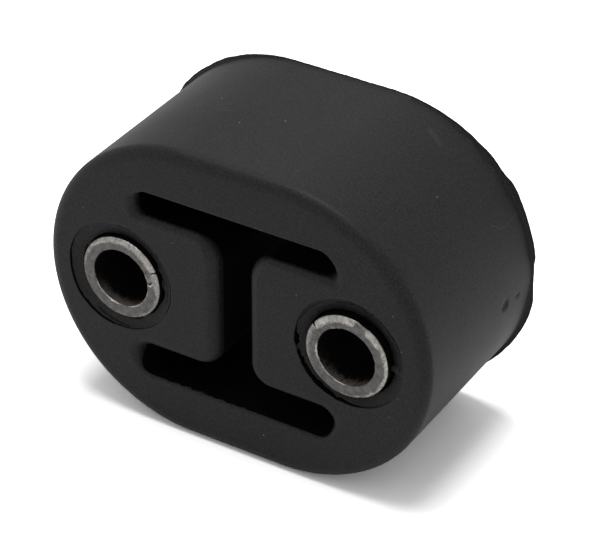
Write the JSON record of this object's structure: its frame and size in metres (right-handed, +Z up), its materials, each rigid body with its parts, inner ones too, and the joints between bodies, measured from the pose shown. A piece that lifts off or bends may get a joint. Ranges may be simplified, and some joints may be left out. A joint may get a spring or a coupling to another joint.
{
  "type": "exhaust hanger",
  "caption": "Rounded rubber isolator block with an I-shaped slot and steel-sleeved holes that hangs an exhaust pipe from a vehicle underbody.",
  "frame": {"origin": "middle of the lower flat side, on which the block stands", "axes": "+X along the block from the left sleeve to the right one, +Y along the sleeves to the rear face with the flash lip, +Z up"},
  "size_m": [0.071, 0.0346, 0.0535],
  "materials": {
    "rubber": "matt moulded black rubber with a faint bloom",
    "sleeve_steel": "cut and rolled plain steel, dull grey end faces with bright outer edges"
  },
  "bodies": {
    "root": {"rubber_body": "rubber", "left_sleeve": "sleeve_steel", "right_sleeve": "sleeve_steel"}
  },
  "joints": []
}
